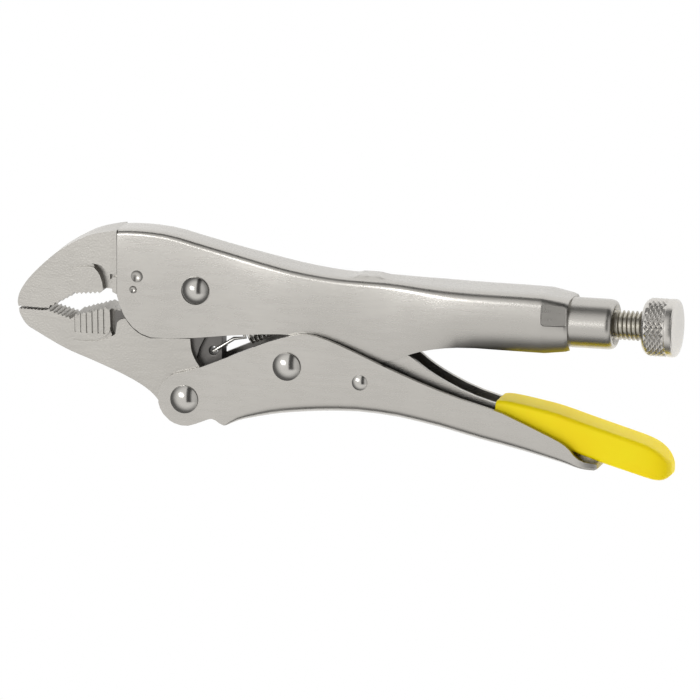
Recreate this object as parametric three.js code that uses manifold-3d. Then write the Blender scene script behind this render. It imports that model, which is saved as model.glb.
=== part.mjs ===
// Locking pliers with curved jaws and a wire cutter, lying on one side.
// Millimetres. +X runs along the adjusting screw towards the knob, +Y towards the spine of
// the upper handle, +Z out of the side that faces up. While the pieces are shaped, X = 0 is the
// jaw tip, Y = 0 the screw's axis and Z = 0 the middle of the tool's thickness. The finished
// group is then moved so that its origin is the middle of the bottom of its own box.
import * as THREE from "three";
import { mergeVertices } from "three/addons/utils/BufferGeometryUtils.js";
import Module from "manifold-3d";

// ---- driving dimensions -------------------------------------------------------------------

// Pivots, in the closed and locked position
const jawReach = 62; // jaw tip to jaw pivot, along X
const jawPivotHeight = 4.3; // jaw pivot above the screw's axis
const handlePivotBack = -3.3; // handle pivot from the jaw pivot, along X
const handlePivotDrop = 36.8; // handle pivot below the jaw pivot
const handleArm = 38; // handle pivot to link pivot
const toggleAngle = THREE.MathUtils.degToRad(20.9); // line of handle pivot, link pivot and link end
const leverPivotOut = 25.1; // lever pivot from the link pivot, along X
const leverPivotDrop = 3.9; // lever pivot below the link pivot

// Overall lengths
const upperHandleLength = 154; // front edge to rear edge of the upper handle
const lowerHandleReach = 142; // handle pivot to the rear tip of the lower handle
const leverReach = 105.5; // lever pivot to the rear end of its grip
const mouthDepth = 36.5; // jaw tip to the back of the mouth
const jawFrontHeight = 23.3; // top of the jaw above the screw's axis, at the upper handle's front edge

// Upper handle
const shellSheet = 1.7;
const shellFrontHalf = 6.8; // half width at the jaws
const shellMiddleHalf = 7.7; // half width at the link
const shellRearHeight = 10; // spine above the screw's axis at the rear
const shellRearDrop = 9.4; // lower edge below the screw's axis at the rear
const bellyDrop = 16.5; // lowest point of the middle's lower edge
const rearRingLength = 11; // closed ring round the bush
const crimpLength = 8;
const crimpHeight = 8.5;
const crimpRise = 3; // middle of the crimp above the screw's axis
const crimpDepth = 0.7;
const springLugLength = 5;
const springLugDrop = 4.6;

// Jaws
const jawTipHalf = 4.4; // half thickness at the tip
const toothPitch = 2.1;
const toothDepth = 0.9;
const tongueRadius = 10.4; // moving jaw's disc round the jaw pivot
const jawBossRadius = 7.8; // moving jaw's boss round the handle pivot
const tailHalf = 3; // half thickness of the tail
const tailLength = 9.5; // tail's rear edge from the jaw pivot, along X
const springHoleRadius = 1.5;

// Lower handle
const handleSheet = 1.8;
const handleEarRadius = 9.1;

// Release lever and grip
const leverSheet = 1.5;
const gripSkin = 1.3;

// Toggle link
const linkEyeRadius = 7;
const linkEndRadius = 4.6;

// Rivets
const mainShankRadius = 3;
const mainHeadRadius = 4.7;
const mainHeadHeight = 1.9;
const jawHeadHeight = 2.4;
const leverShankRadius = 1.8;
const leverHeadRadius = 2.6;
const leverHeadHeight = 0.9;

// Adjusting screw, bush and knob
const screwRadius = 4.95;
const screwTipChamfer = 1.5;
const bushRadius = 8.4;
const bushInside = 18; // length of the bush inside the upper handle
const bushOutside = 14.6; // length of the bush behind the upper handle
const screwShowing = 10.2; // thread between bush and knob
const knobRadius = 9.75;
const knobLength = 11.5;
const knobChamfer = 1.2;
const knobWall = 2.6; // behind the screw's end

// Spring
const springWireRadius = 0.5;
const springRadius = 2.6; // to the middle of the wire
const springPitch = 2;

// Clearances
const runningClearance = 0.05; // round shafts in their holes
const headClearance = 0.05; // under rivet heads
const sideClearance = 0.1; // flat pieces that slide or fit side by side
const leverSideClearance = 0.4; // release lever inside the upper handle
const linkSideClearance = 1.2; // toggle link inside the upper handle
const handleSideClearance = 0.25; // lower handle beside the jaw and the upper handle
const partingClearance = 0.6; // moving jaw from the upper handle's edge and the fixed jaw
const openPivotClearance = 2.4; // link end from the screw's tip
const gripClearance = 0.3; // grip round the lever
const hookClearance = 0.35; // spring wire beside the plates it hooks on

// Facets
const outlineSteps = 6;
const roundSteps = 32;
const springTurnSteps = 8;
const farAway = 90; // reaches past every piece

// ---- derived places -----------------------------------------------------------------------

const point = (x, y) => new THREE.Vector2(x, y);
const jawPivot = point(jawReach, jawPivotHeight);
const handlePivot = point(jawPivot.x + handlePivotBack, jawPivot.y - handlePivotDrop);
const toggleDirection = point(Math.cos(toggleAngle), Math.sin(toggleAngle));
const linkPivot = handlePivot.clone().addScaledVector(toggleDirection, handleArm);
const linkLength = -linkPivot.y / toggleDirection.y;
const linkEnd = linkPivot.clone().addScaledVector(toggleDirection, linkLength);
const leverPivot = point(linkPivot.x + leverPivotOut, linkPivot.y - leverPivotDrop);

const shellFront = mouthDepth - 0.5;
const shellRear = shellFront + upperHandleLength;
const shellRearHalf = bushRadius + runningClearance + shellSheet;
const flareStart = linkEnd.x - 14; // upper handle widens to its rear width here
const flareEnd = linkEnd.x + 4;
const rampStart = jawPivot.x + tongueRadius; // upper handle widens to its middle width here
const rampEnd = linkPivot.x - 4;

const handleFrontInner = shellFrontHalf + handleSideClearance;
const handleRearInner = shellMiddleHalf + handleSideClearance;
const handleTip = handlePivot.x + lowerHandleReach;
const leverTip = leverPivot.x + leverReach;

const screwTip = linkEnd.x + linkEndRadius + openPivotClearance;
const bushRear = shellRear + bushOutside;
const knobFront = bushRear + screwShowing;
const knobRear = knobFront + knobLength;

const tongueHalf = shellFrontHalf - shellSheet - sideClearance;
const leverHalf = shellMiddleHalf - shellSheet - leverSideClearance;
const linkHalf = shellMiddleHalf - shellSheet - linkSideClearance;
const springHole = point(jawPivot.x + 5.2, jawPivot.y - 21);
const springAnchor = point(linkPivot.x + 23, 6.6);

// ---- solids -------------------------------------------------------------------------------

const wasm = await Module();
wasm.setup();

// A closed three.js geometry as a solid that can be cut and joined.
function solid(geometry) {
  const bare = geometry.index ? geometry.toNonIndexed() : geometry.clone();
  bare.deleteAttribute("normal");
  bare.deleteAttribute("uv");
  const merged = mergeVertices(bare, 1e-4);
  return new wasm.Manifold(
    new wasm.Mesh({
      numProp: 3,
      vertProperties: merged.attributes.position.array,
      triVerts: new Uint32Array(merged.index.array),
    }),
  );
}

// The solid's triangles as a three.js geometry.
function geometryOf(made) {
  const mesh = made.getMesh();
  const geometry = new THREE.BufferGeometry();
  geometry.setAttribute("position", new THREE.BufferAttribute(new Float32Array(mesh.vertProperties), 3));
  geometry.setIndex(new THREE.BufferAttribute(new Uint32Array(mesh.triVerts), 1));
  return geometry;
}

// A side outline drawn in X and Y, as thick as twice half.
function plate(shape, half) {
  const geometry = new THREE.ExtrudeGeometry(shape, {
    depth: 2 * half,
    bevelEnabled: false,
    curveSegments: outlineSteps,
  });
  geometry.translate(0, 0, -half);
  return solid(geometry);
}

// A block seen from above whose half width follows stations of [x, half].
function widthBlock(stations) {
  const shape = new THREE.Shape();
  shape.setFromPoints([
    ...stations.map(([x, half]) => point(x, half)),
    ...stations.toReversed().map(([x, half]) => point(x, -half)),
  ].reverse());
  const geometry = new THREE.ExtrudeGeometry(shape, { depth: 2 * farAway, bevelEnabled: false });
  geometry.rotateX(Math.PI / 2);
  geometry.translate(0, farAway, 0);
  return solid(geometry);
}

// A cylinder along Z through a point, for holes.
function crossCylinder(centre, radius, half) {
  const geometry = new THREE.CylinderGeometry(radius, radius, 2 * half, roundSteps);
  geometry.rotateX(Math.PI / 2);
  geometry.translate(centre.x, centre.y, 0);
  return solid(geometry);
}

// A profile of [along, radius], run from front to rear over the outside, turned round the
// screw's axis.
function turnedAlongX(profile) {
  const points = profile.map(([along, radius]) => point(radius, along));
  const geometry = new THREE.LatheGeometry(points, roundSteps);
  geometry.rotateZ(-Math.PI / 2);
  return solid(geometry);
}

function block(x0, x1, y0, y1, z0, z1) {
  const geometry = new THREE.BoxGeometry(x1 - x0, y1 - y0, z1 - z0);
  geometry.translate((x0 + x1) / 2, (y0 + y1) / 2, (z0 + z1) / 2);
  return solid(geometry);
}

// A shape through straight points.
function polygon(points) {
  return new THREE.Shape(points.map(([x, y]) => point(x, y)));
}

const mirroredZ = (make) => make(1).add(make(-1));

// ---- upper handle -------------------------------------------------------------------------

// Height of the spine's outer face at stations from the front edge to the rear edge.
function spinePoints(lowered) {
  const middle = shellRear - shellFront;
  const fall = jawFrontHeight - shellRearHeight;
  return [
    [0, 1],
    [0.055, 1.035],
    [0.125, 0.95],
    [0.25, 0.6],
    [0.4, 0.24],
    [0.58, 0.105],
    [0.75, 0.03],
    [0.95, 0],
  ].map(([along, share]) => point(shellFront + along * middle, shellRearHeight + share * fall - lowered));
}

// Side outline of the upper handle: spine, rear edge, belly, and the parting edge at the jaws.
function shellOutline() {
  const spine = spinePoints(0);
  const shape = new THREE.Shape();
  shape.moveTo(spine[0].x, spine[0].y);
  shape.splineThru(spine.slice(1));
  shape.lineTo(shellRear, shellRearHeight - 0.9);
  shape.lineTo(shellRear, -shellRearDrop);
  shape.lineTo(linkEnd.x + 8, -shellRearDrop);
  shape.splineThru([
    point(linkEnd.x - 4, -shellRearDrop - 1.9),
    point(leverPivot.x + 9, -bellyDrop + 0.9),
    point(leverPivot.x + 3, -bellyDrop),
    point(leverPivot.x - 5, -bellyDrop + 1.2),
    point(linkPivot.x + 9, -bellyDrop + 5.5),
    point(linkPivot.x + 1, -bellyDrop + 8),
  ]);
  shape.lineTo(jawPivot.x + tongueRadius, jawPivot.y - 14.7);
  shape.lineTo(jawPivot.x - 1, jawPivot.y - 16.2);
  shape.lineTo(jawPivot.x - 15.5, jawPivot.y - 17);
  shape.quadraticCurveTo(shellFront + 4, jawPivot.y - 16, shellFront + 2, jawPivot.y - 10.8);
  shape.lineTo(shellFront, jawPivot.y - 5.3);
  return shape;
}

function shellHalves(inset) {
  return [
    [shellFront - 5, shellFrontHalf - inset],
    [rampStart, shellFrontHalf - inset],
    [rampEnd, shellMiddleHalf - inset],
    [flareStart, shellMiddleHalf - inset],
    [flareEnd, shellRearHalf - inset],
    [shellRear + 5, shellRearHalf - inset],
  ];
}

// All that lies under the spine, from the front edge back to the ring round the bush.
function underSpine(lowered) {
  const spine = spinePoints(lowered);
  const shape = new THREE.Shape();
  shape.moveTo(shellFront - 3, spine[0].y);
  shape.lineTo(spine[0].x, spine[0].y);
  shape.splineThru(spine.slice(1, -1));
  shape.lineTo(shellRear - rearRingLength, shellRearHeight - lowered);
  shape.lineTo(shellRear - rearRingLength, -farAway);
  shape.lineTo(shellFront - 3, -farAway);
  return plate(shape, farAway);
}

// The hollow between the side walls, open at the front and below.
function shellHollow() {
  return underSpine(shellSheet).intersect(widthBlock(shellHalves(shellSheet)));
}

// Flat tab that hangs from the spine and holds the spring's rear hook.
function springLug() {
  const top = jawFrontHeight;
  const low = springAnchor.y - springLugDrop / 2;
  const lug = block(
    springAnchor.x - springLugLength / 2,
    springAnchor.x + springLugLength / 2,
    low,
    top,
    -shellSheet / 2,
    shellSheet / 2,
  );
  const hung = lug.intersect(underSpine(shellSheet / 2));
  return hung.subtract(crossCylinder(springAnchor, springHoleRadius, farAway));
}

function upperHandle() {
  const outer = plate(shellOutline(), farAway).intersect(widthBlock(shellHalves(0)));
  const rearRing = turnedAlongX([
    [shellRear - rearRingLength, bushRadius + runningClearance],
    [shellRear - rearRingLength, shellRearHalf],
    [shellRear, shellRearHalf],
    [shellRear, bushRadius + runningClearance],
    [shellRear - rearRingLength, bushRadius + runningClearance],
  ]);
  const bushWay = turnedAlongX([
    [shellRear - bushInside, 0],
    [shellRear - bushInside, bushRadius + runningClearance],
    [shellRear + 5, bushRadius + runningClearance],
    [shellRear + 5, 0],
  ]);
  const crimps = mirroredZ((side) =>
    block(
      shellRear - 1 - crimpLength,
      shellRear - 1,
      crimpRise - crimpHeight / 2,
      crimpRise + crimpHeight / 2,
      Math.min(side * (shellRearHalf - crimpDepth), side * farAway),
      Math.max(side * (shellRearHalf - crimpDepth), side * farAway),
    ),
  );
  return outer
    .subtract(shellHollow())
    .add(rearRing)
    .add(springLug())
    .subtract(bushWay)
    .subtract(crimps)
    .subtract(crossCylinder(jawPivot, mainShankRadius + runningClearance, farAway));
}

// ---- jaws ---------------------------------------------------------------------------------

// Teeth from one point to another, standing off the line on its left side.
function teeth(from, to, depth) {
  const along = to.clone().sub(from);
  const count = Math.round(along.length() / toothPitch);
  const out = point(-along.y, along.x).normalize().multiplyScalar(depth);
  const points = [];
  for (let i = 0; i < count; i += 1) {
    points.push(from.clone().addScaledVector(along, i / count));
    points.push(from.clone().addScaledVector(along, (i + 0.5) / count).add(out));
  }
  points.push(to.clone());
  return points;
}

function lineThrough(shape, points) {
  for (const p of points) shape.lineTo(p.x, p.y);
}

const contactHeight = -5.5; // where the jaw tips meet

function upperJaw() {
  const roof = jawFrontHeight;
  const gap = partingClearance;
  const front = new THREE.Shape();
  front.moveTo(0.3, contactHeight + gap / 2);
  lineThrough(front, teeth(point(0.3, contactHeight + 0.15), point(0.26 * mouthDepth, contactHeight + 0.15), 0.25));
  lineThrough(front, teeth(point(0.27 * mouthDepth, contactHeight + 0.5), point(0.55 * mouthDepth, 1), -toothDepth));
  lineThrough(front, teeth(point(0.56 * mouthDepth, 1.2), point(0.8 * mouthDepth, 2), -toothDepth));
  front.lineTo(0.86 * mouthDepth, 2.6);
  front.lineTo(0.94 * mouthDepth, 1.4);
  front.lineTo(mouthDepth, -1);
  front.lineTo(mouthDepth + 8, -1);
  front.lineTo(mouthDepth + 8, jawFrontHeight);
  front.lineTo(shellFront, jawFrontHeight);
  front.splineThru([
    point(0.68 * mouthDepth, 0.89 * jawFrontHeight),
    point(0.45 * mouthDepth, 0.69 * jawFrontHeight),
    point(0.28 * mouthDepth, 0.475 * jawFrontHeight),
    point(0.12 * mouthDepth, 5.2),
    point(0.03 * mouthDepth, 0.4),
    point(0, -3.5),
  ]);
  const nose = plate(front, farAway).intersect(
    widthBlock([
      [-2, jawTipHalf],
      [0.25 * mouthDepth, 0.5 * (jawTipHalf + shellFrontHalf)],
      [mouthDepth - 4, shellFrontHalf],
      [shellFront - 0.05, shellFrontHalf],
    ]),
  );
  const root = new THREE.Shape();
  root.moveTo(shellFront - 2, -1);
  root.lineTo(jawPivot.x - 5, -1);
  root.lineTo(jawPivot.x + 2, roof);
  root.lineTo(shellFront - 2, roof);
  const inside = plate(root, tongueHalf).intersect(underSpine(shellSheet + sideClearance));
  return nose.add(inside).subtract(crossCylinder(jawPivot, tongueRadius + gap, farAway));
}

// Outline of the moving jaw's front and lower edges, from the tip to the handle pivot's boss.
function lowerJawFront(shape) {
  shape.splineThru([
    point(0.02 * mouthDepth, -8.5),
    point(0.17 * mouthDepth, -13),
    point(0.46 * mouthDepth, -18.2),
    point(0.75 * mouthDepth, -22),
    point(0.97 * mouthDepth, -25),
    point(jawPivot.x - 15.5, -31),
    point(handlePivot.x - jawBossRadius + 0.4, handlePivot.y - 0.4),
  ]);
}

function lowerJaw() {
  const top = contactHeight - 0.15;
  const body = new THREE.Shape();
  body.moveTo(0.3, top - 0.15);
  lowerJawFront(body);
  body.absarc(handlePivot.x, handlePivot.y, jawBossRadius, Math.PI, 2 * Math.PI + 0.5, false);
  body.lineTo(jawPivot.x + 4, jawPivot.y - 26.5);
  body.lineTo(jawPivot.x, jawPivot.y - 16.7 - partingClearance);
  body.lineTo(jawPivot.x - 15.5, jawPivot.y - 17 - partingClearance);
  body.quadraticCurveTo(shellFront + 3.4, jawPivot.y - 16 - partingClearance, mouthDepth + 0.2, jawPivot.y - 9.6);
  body.lineTo(mouthDepth - 0.5, -3.6);
  body.lineTo(0.9 * mouthDepth, -4.6);
  lineThrough(body, teeth(point(0.86 * mouthDepth, -3.9), point(0.54 * mouthDepth, -7.6), -toothDepth));
  lineThrough(body, teeth(point(0.5 * mouthDepth, -8.3), point(0.27 * mouthDepth, top - 0.4), -toothDepth));
  lineThrough(body, teeth(point(0.26 * mouthDepth, top), point(0.3, top), 0.25));
  const cheeks = plate(body, farAway).intersect(
    widthBlock([
      [-2, jawTipHalf],
      [0.25 * mouthDepth, 0.5 * (jawTipHalf + shellFrontHalf)],
      [mouthDepth - 4, shellFrontHalf],
      [farAway * 2, shellFrontHalf],
    ]),
  );
  const tongue = new THREE.Shape();
  tongue.moveTo(mouthDepth - 3, -3.7);
  tongue.lineTo(mouthDepth - 3, -14);
  tongue.lineTo(jawPivot.x - 12, jawPivot.y - 24);
  tongue.lineTo(jawPivot.x + 5, jawPivot.y - 28);
  tongue.lineTo(jawPivot.x + tongueRadius - 3, jawPivot.y - 12);
  tongue.absarc(jawPivot.x, jawPivot.y, tongueRadius, -0.4, Math.PI + 0.62, false);
  const tail = polygon([
    [jawPivot.x - 4, jawPivot.y - 12],
    [jawPivot.x - 2, jawPivot.y - 28],
    [jawPivot.x + tailLength - 3, jawPivot.y - 27.6],
    [jawPivot.x + tailLength, jawPivot.y - 24.6],
    [jawPivot.x + tailLength, jawPivot.y - 12],
  ]);
  return cheeks
    .add(plate(tongue, tongueHalf))
    .add(plate(tail, tailHalf))
    .subtract(crossCylinder(jawPivot, mainShankRadius + runningClearance, farAway))
    .subtract(crossCylinder(handlePivot, mainShankRadius + runningClearance, farAway))
    .subtract(crossCylinder(springHole, springHoleRadius, farAway));
}

// ---- lower handle -------------------------------------------------------------------------

// Lower edge of the lower handle from its front bump to its rear tip, raised by a wall.
function handleBelly(raised) {
  const reach = lowerHandleReach;
  return [
    [0.113, -8],
    [0.235, -3.2],
    [0.42, -1],
    [0.52, -2],
    [0.62, -4.6],
    [0.77, -9.1],
    [0.965, -15.4],
  ].map(([along, height]) => point(handlePivot.x + along * reach, handlePivot.y + height + raised));
}

function handleHalves(inset) {
  return [
    [handlePivot.x - 20, handleFrontInner + inset],
    [rampStart, handleFrontInner + inset],
    [rampEnd - 3, handleRearInner + inset],
    [handleTip + 20, handleRearInner + inset],
  ];
}

function lowerHandle() {
  const reach = lowerHandleReach;
  const belly = handleBelly(0);
  const outline = new THREE.Shape();
  outline.absarc(handlePivot.x, handlePivot.y, handleEarRadius, Math.PI * 0.86, Math.PI * 1.72, false);
  outline.quadraticCurveTo(handlePivot.x + 10, handlePivot.y - 6, belly[0].x - 2, belly[0].y + 0.5);
  outline.lineTo(belly[0].x, belly[0].y);
  outline.splineThru(belly.slice(1));
  outline.quadraticCurveTo(handleTip, handlePivot.y - 16, handleTip, handlePivot.y - 14.6);
  outline.quadraticCurveTo(handleTip - 0.5, handlePivot.y - 13.2, handleTip - 5, handlePivot.y - 12.5);
  outline.splineThru([
    point(handlePivot.x + 0.94 * reach, handlePivot.y - 9.9),
    point(handlePivot.x + 0.912 * reach, handlePivot.y - 6.6),
    point(handlePivot.x + 0.766 * reach, handlePivot.y + 1.6),
    point(handlePivot.x + 0.6 * reach, handlePivot.y + 9.2),
    point(handlePivot.x + 0.47 * reach, handlePivot.y + 16.8),
    point(handlePivot.x + 0.4 * reach, handlePivot.y + 20.6),
    point(linkPivot.x + 12, linkPivot.y + 10.4),
    point(linkPivot.x + 6, linkPivot.y + 11.3),
    point(linkPivot.x, linkPivot.y + 10.1),
    point(handlePivot.x + 21, handlePivot.y + 18),
    point(handlePivot.x + 5.7, handlePivot.y + 11.1),
    point(handlePivot.x - 3.5, handlePivot.y + 7.2),
  ]);
  const outer = plate(outline, farAway).intersect(widthBlock(handleHalves(handleSheet)));
  const floor = handleBelly(handleSheet);
  const hollow = new THREE.Shape();
  hollow.moveTo(handlePivot.x - 20, handlePivot.y - 20);
  hollow.lineTo(floor[0].x - 2, handlePivot.y - 20);
  hollow.lineTo(floor[0].x - 0.3, floor[0].y);
  hollow.splineThru(floor.slice(1));
  hollow.lineTo(handleTip + 5, floor.at(-1).y);
  hollow.lineTo(handleTip + 5, farAway);
  hollow.lineTo(handlePivot.x - 20, farAway);
  const inner = plate(hollow, farAway).intersect(widthBlock(handleHalves(0)));
  return outer
    .subtract(inner)
    .subtract(crossCylinder(handlePivot, mainShankRadius + runningClearance, farAway))
    .subtract(crossCylinder(linkPivot, mainShankRadius + runningClearance, farAway))
    .subtract(crossCylinder(leverPivot, leverShankRadius + runningClearance, farAway));
}

// ---- release lever and grip ---------------------------------------------------------------

// Places along the lever: its pivot is 0 and the end of its grip is 1.
const leverAt = (along, height) => point(leverPivot.x + along * leverReach, leverPivot.y + height);

function leverTop(grown) {
  return [
    [0.04, 6.8],
    [0.12, 9.8],
    [0.16, 8.4],
    [0.2, 5.3],
    [0.25, 1.9],
    [0.315, -1.2],
    [0.42, -5],
    [0.52, -6.4],
    [0.62, -8.2],
    [0.77, -12.7],
    [0.9, -16.6],
    [0.955, -20],
  ].map(([along, height]) => leverAt(along, height + grown));
}

function leverFloor(raised) {
  return [
    [0.968, -24],
    [0.95, -26.2],
    [0.9, -25.4],
    [0.77, -21.2],
    [0.64, -16.9],
    [0.52, -13.2],
    [0.38, -10.2],
    [0.23, -8.4],
    [0, -6.2],
  ].map(([along, height]) => leverAt(along, height + raised));
}

function leverBody(grown) {
  const top = leverTop(grown);
  const floor = leverFloor(-grown);
  const outline = new THREE.Shape();
  outline.moveTo(top[0].x, top[0].y);
  outline.splineThru(top.slice(1));
  outline.lineTo(floor[0].x + grown, floor[0].y);
  outline.splineThru(floor.slice(1));
  outline.quadraticCurveTo(leverPivot.x - 6.5, leverPivot.y - 5.5, leverPivot.x - 6.5, leverPivot.y);
  outline.quadraticCurveTo(leverPivot.x - 6, leverPivot.y + 5, top[0].x, top[0].y);
  const outer = plate(outline, leverHalf + grown);
  const innerFloor = leverFloor(leverSheet + grown);
  const hollow = new THREE.Shape();
  hollow.moveTo(leverPivot.x - 20, farAway);
  hollow.lineTo(leverPivot.x - 20, leverPivot.y - 20);
  hollow.lineTo(leverPivot.x - 6, leverPivot.y - 20);
  hollow.lineTo(leverPivot.x + 6, innerFloor.at(-1).y);
  hollow.splineThru(innerFloor.slice(2, -1).toReversed());
  hollow.lineTo(leverTip - gripSkin - leverSheet - 2 * grown - 3, innerFloor[0].y + 2);
  hollow.lineTo(leverTip - gripSkin - leverSheet - 2 * grown - 3, farAway);
  return outer.subtract(plate(hollow, leverHalf - leverSheet - grown));
}

function releaseLever() {
  return leverBody(0).subtract(crossCylinder(leverPivot, leverShankRadius + runningClearance, farAway));
}

function leverGrip() {
  const outline = new THREE.Shape();
  const start = leverAt(0.432, 0);
  outline.moveTo(start.x - 0.6, leverPivot.y - 9);
  outline.lineTo(start.x, leverPivot.y - 4.2);
  outline.splineThru([
    leverAt(0.475, -4.2),
    leverAt(0.61, -6.5),
    leverAt(0.77, -11.3),
    leverAt(0.9, -15.2),
    leverAt(0.965, -18.9),
    leverAt(0.993, -22.8),
    leverAt(0.997, -25.8),
    leverAt(0.965, -27.9),
    leverAt(0.9, -26.9),
    leverAt(0.77, -22.7),
    leverAt(0.64, -18.3),
    leverAt(0.52, -14.8),
  ]);
  outline.lineTo(start.x - 1.5, leverPivot.y - 12.6);
  const body = plate(outline, leverHalf + gripSkin);
  return body.subtract(leverBody(gripClearance));
}

// ---- toggle link --------------------------------------------------------------------------

function toggleLink() {
  const lean = Math.asin((linkEyeRadius - linkEndRadius) / linkLength);
  const outline = new THREE.Shape();
  const up = toggleAngle + Math.PI / 2 - lean;
  const down = toggleAngle - Math.PI / 2 + lean;
  outline.absarc(linkPivot.x, linkPivot.y, linkEyeRadius, up, down + 2 * Math.PI, false);
  outline.absarc(linkEnd.x, linkEnd.y, linkEndRadius, down, up, false);
  return plate(outline, linkHalf).subtract(
    crossCylinder(linkPivot, mainShankRadius + runningClearance, farAway),
  );
}

// ---- rivets -------------------------------------------------------------------------------

// A rivet with a domed head on each side, lying along Z. Its origin is the middle of its shank.
function rivet(shankRadius, headRadius, headHeight, halfGrip) {
  const under = halfGrip + headClearance;
  const rim = 0.35 * headHeight;
  const domeSteps = 5;
  const dome = (end) => {
    const points = [];
    for (let i = 0; i <= domeSteps; i += 1) {
      const turn = ((Math.PI / 2) * i) / domeSteps;
      const radius = headRadius * Math.cos(turn);
      points.push([end * (under + rim + (headHeight - rim) * Math.sin(turn)), Math.max(radius, 0)]);
    }
    points[domeSteps][1] = 0;
    return points;
  };
  const upper = dome(1);
  const lower = dome(-1).reverse();
  const profile = [
    ...lower,
    [-under, headRadius],
    [-under, shankRadius],
    [under, shankRadius],
    [under, headRadius],
    ...upper,
  ].map(([along, radius]) => point(radius, along));
  const geometry = new THREE.LatheGeometry(profile, roundSteps);
  geometry.rotateX(Math.PI / 2);
  return solid(geometry);
}

// ---- screw, bush and knob -----------------------------------------------------------------

function endBush() {
  const bore = screwRadius + runningClearance;
  const bushFront = shellRear - bushInside;
  const edge = 0.8;
  return turnedAlongX([
    [bushFront, bore],
    [bushFront, bushRadius],
    [bushRear - edge, bushRadius],
    [bushRear, bushRadius - edge],
    [bushRear, bore + edge],
    [bushRear - edge, bore],
    [bushFront, bore],
  ]);
}

function adjustingScrew() {
  const end = knobRear - knobWall;
  return turnedAlongX([
    [screwTip, 0],
    [screwTip, screwRadius - screwTipChamfer],
    [screwTip + screwTipChamfer, screwRadius],
    [end, screwRadius],
    [end, 0],
  ]);
}

function adjustingKnob() {
  const bore = screwRadius + runningClearance;
  const boreEnd = knobRear - knobWall + 0.3;
  return turnedAlongX([
    [knobFront, bore],
    [knobFront, knobRadius - knobChamfer],
    [knobFront + knobChamfer, knobRadius],
    [knobRear - knobChamfer, knobRadius],
    [knobRear, knobRadius - knobChamfer * 1.8],
    [knobRear, 0],
    [boreEnd, 0],
    [boreEnd, bore],
    [knobFront, bore],
  ]);
}

// ---- spring -------------------------------------------------------------------------------

// Points of the wire's middle line: a hook through the tail's hole, the coils, a hook through the
// lug.
function springLine(from, to, tailHalfThickness, lugHalfThickness) {
  const start = new THREE.Vector3(from.x, from.y, 0);
  const axis = new THREE.Vector3(to.x, to.y, 0).sub(start);
  const span = axis.length();
  axis.normalize();
  const side = new THREE.Vector3(-axis.y, axis.x, 0);
  const place = (along, across, z) =>
    start
      .clone()
      .addScaledVector(axis, along)
      .addScaledVector(side, across)
      .add(new THREE.Vector3(0, 0, z));
  const hookLength = 4 * springRadius;
  const coilLength = span - 2 * hookLength;
  const turns = Math.round(coilLength / springPitch);
  const coilSteps = turns * springTurnSteps;
  const tailSide = tailHalfThickness + springWireRadius + hookClearance;
  const lugSide = lugHalfThickness + springWireRadius + hookClearance;
  const points = [
    place(2.6, 0, -tailSide),
    place(0.9, 0, -tailSide),
    place(0, 0, -tailSide + 0.5),
    place(0, 0, tailSide - 0.5),
    place(0.9, 0, tailSide),
    place(5, 0, tailSide),
  ];
  for (let i = 0; i <= coilSteps; i += 1) {
    const turn = (2 * Math.PI * i) / springTurnSteps;
    const along = hookLength + (coilLength * i) / coilSteps;
    points.push(place(along, springRadius * Math.sin(turn), springRadius * Math.cos(turn)));
  }
  points.push(
    place(span - 4.5, 0, lugSide),
    place(span - 0.9, 0, lugSide),
    place(span, 0, lugSide - 0.5),
    place(span, 0, -lugSide + 0.5),
    place(span - 0.9, 0, -lugSide),
    place(span - 2.6, 0, -lugSide),
  );
  return points;
}

function jawSpring() {
  const points = springLine(springHole, springAnchor, tailHalf, shellSheet / 2);
  const section = new THREE.Shape();
  section.absarc(0, 0, springWireRadius, 0, 2 * Math.PI, false);
  const geometry = new THREE.ExtrudeGeometry(section, {
    steps: points.length - 1,
    bevelEnabled: false,
    extrudePath: new THREE.CatmullRomCurve3(points),
    curveSegments: 3,
  });
  return solid(geometry);
}

// ---- materials ----------------------------------------------------------------------------

const metal = (color, roughness) => new THREE.MeshStandardMaterial({ color, roughness, metalness: 1 });
const satinNickel = () => metal(0xb8b5af, 0.36);
const forgedNickel = () => metal(0xb2afa8, 0.42);
const polishedSteel = () => metal(0xc9c8c5, 0.2);
const darkSteel = () => metal(0x77746f, 0.45);
const vinyl = () => new THREE.MeshStandardMaterial({ color: 0xe8cf1e, roughness: 0.38, metalness: 0 });

// ---- assembly -----------------------------------------------------------------------------

function named(name, made, material) {
  const mesh = new THREE.Mesh(geometryOf(made), material);
  mesh.name = name;
  return mesh;
}

// A rivet is shaped at the origin and placed at its pivot.
function rivetAt(name, pivot, made) {
  const mesh = named(name, made, polishedSteel());
  mesh.position.set(pivot.x, pivot.y, 0);
  return mesh;
}

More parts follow.
